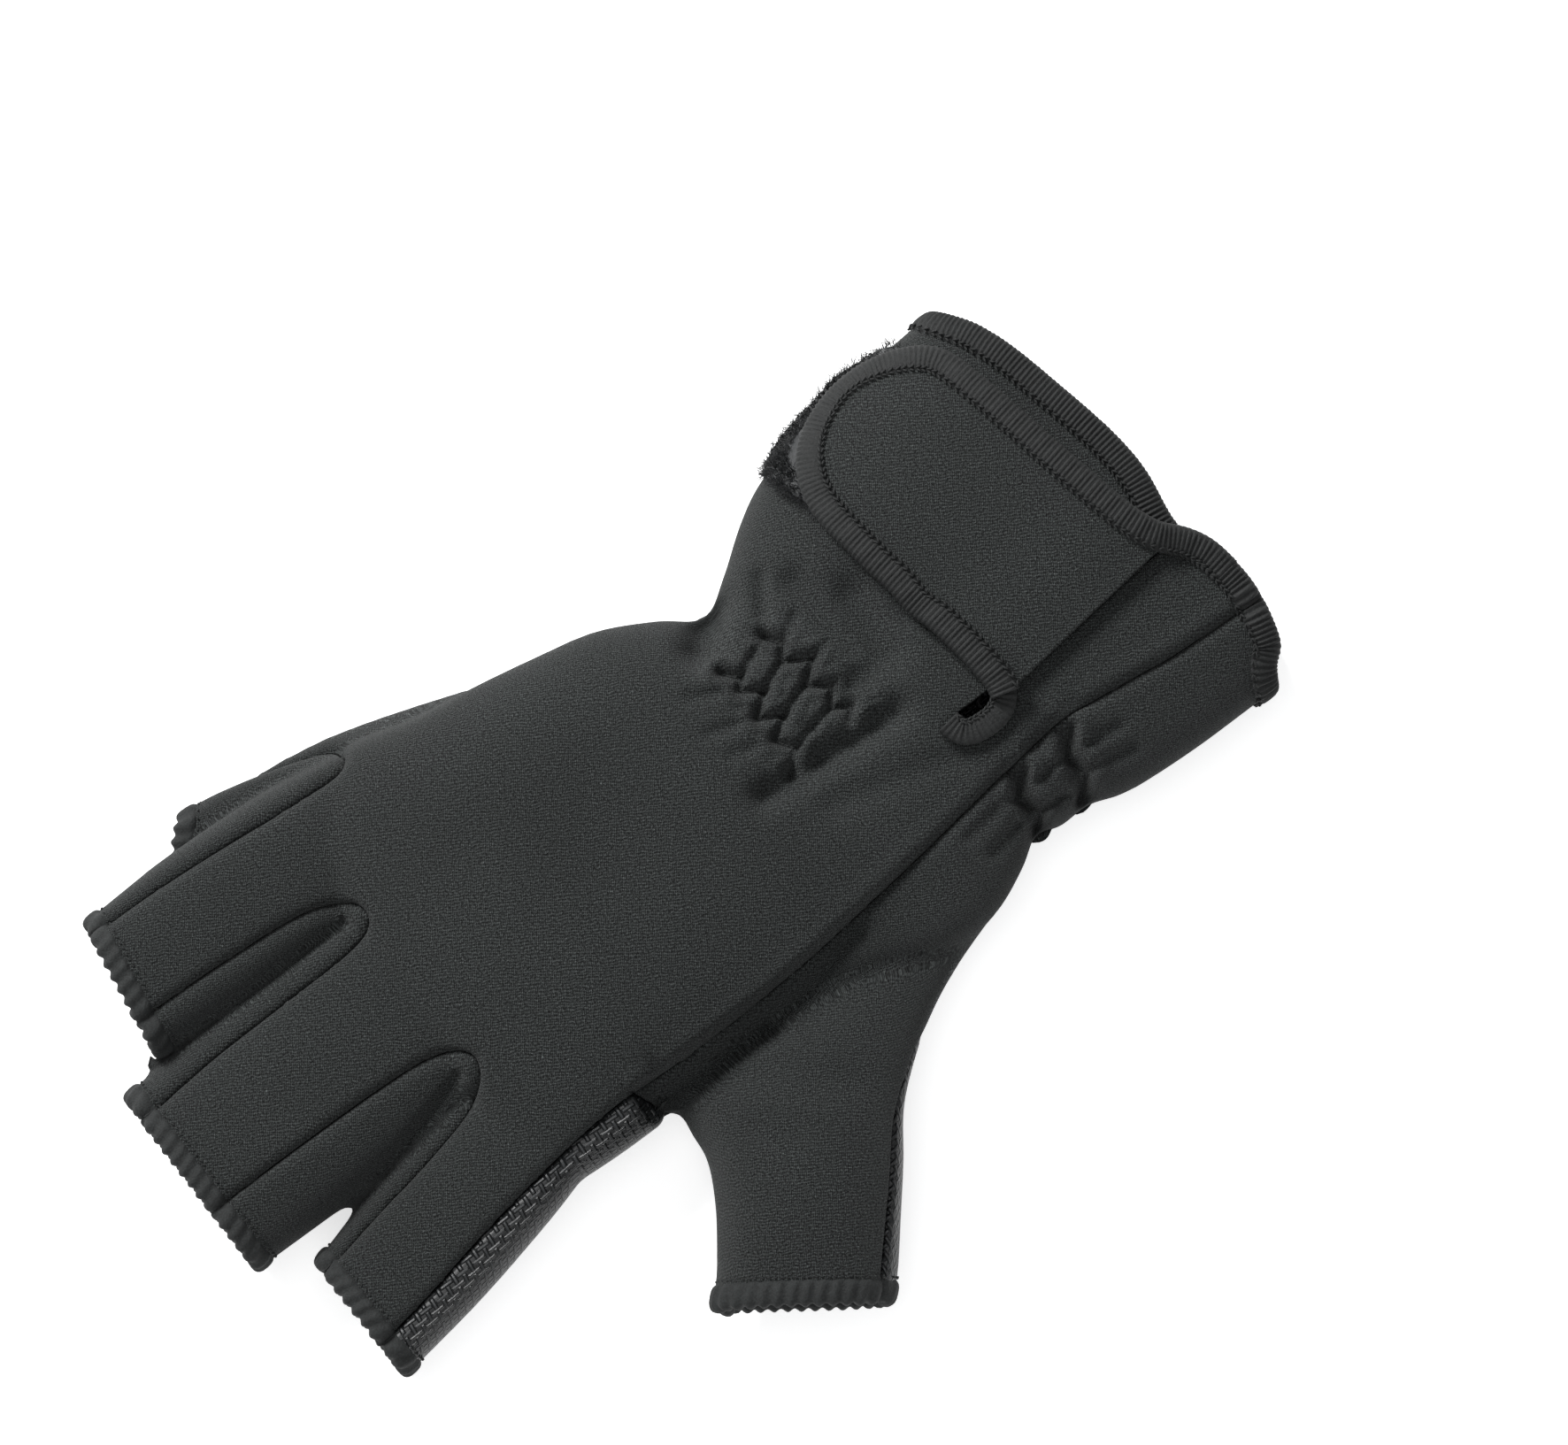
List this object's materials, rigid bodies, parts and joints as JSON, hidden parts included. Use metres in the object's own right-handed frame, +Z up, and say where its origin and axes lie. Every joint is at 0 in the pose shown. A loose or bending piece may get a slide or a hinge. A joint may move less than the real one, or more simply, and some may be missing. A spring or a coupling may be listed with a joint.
{
  "type": "fishing glove",
  "caption": "Half-finger neoprene glove for the right hand, palm down, with open finger and thumb tips, grip palm and wrist strap",
  "frame": {"origin": "middle of the glove's box, on the surface it lies on", "axes": "+Y towards the fingertips, +X towards the little finger, +Z up out of the back of the hand"},
  "size_m": [0.1588, 0.2364, 0.0334],
  "materials": {
    "jersey": "charcoal jersey knit face on neoprene, matte",
    "grip": "black embossed grip, short raised bars, semi-gloss",
    "overlock": "black overlocked rim",
    "rib_tape": "black ribbed elastic tape",
    "pile": "black loop pile"
  },
  "bodies": {
    "root": {"back_panel": "jersey", "thumb_panel": "jersey", "palm_panel": "grip", "gusset_index_middle": "jersey", "gusset_middle_ring": "jersey", "gusset_ring_pinky": "jersey", "hem_index": "overlock", "hem_middle": "overlock", "hem_ring": "overlock", "hem_pinky": "overlock", "hem_thumb": "overlock", "cuff_binding": "rib_tape", "strap": "jersey", "strap_binding": "rib_tape", "slit_binding": "rib_tape", "loop_patch": "pile"}
  },
  "joints": []
}
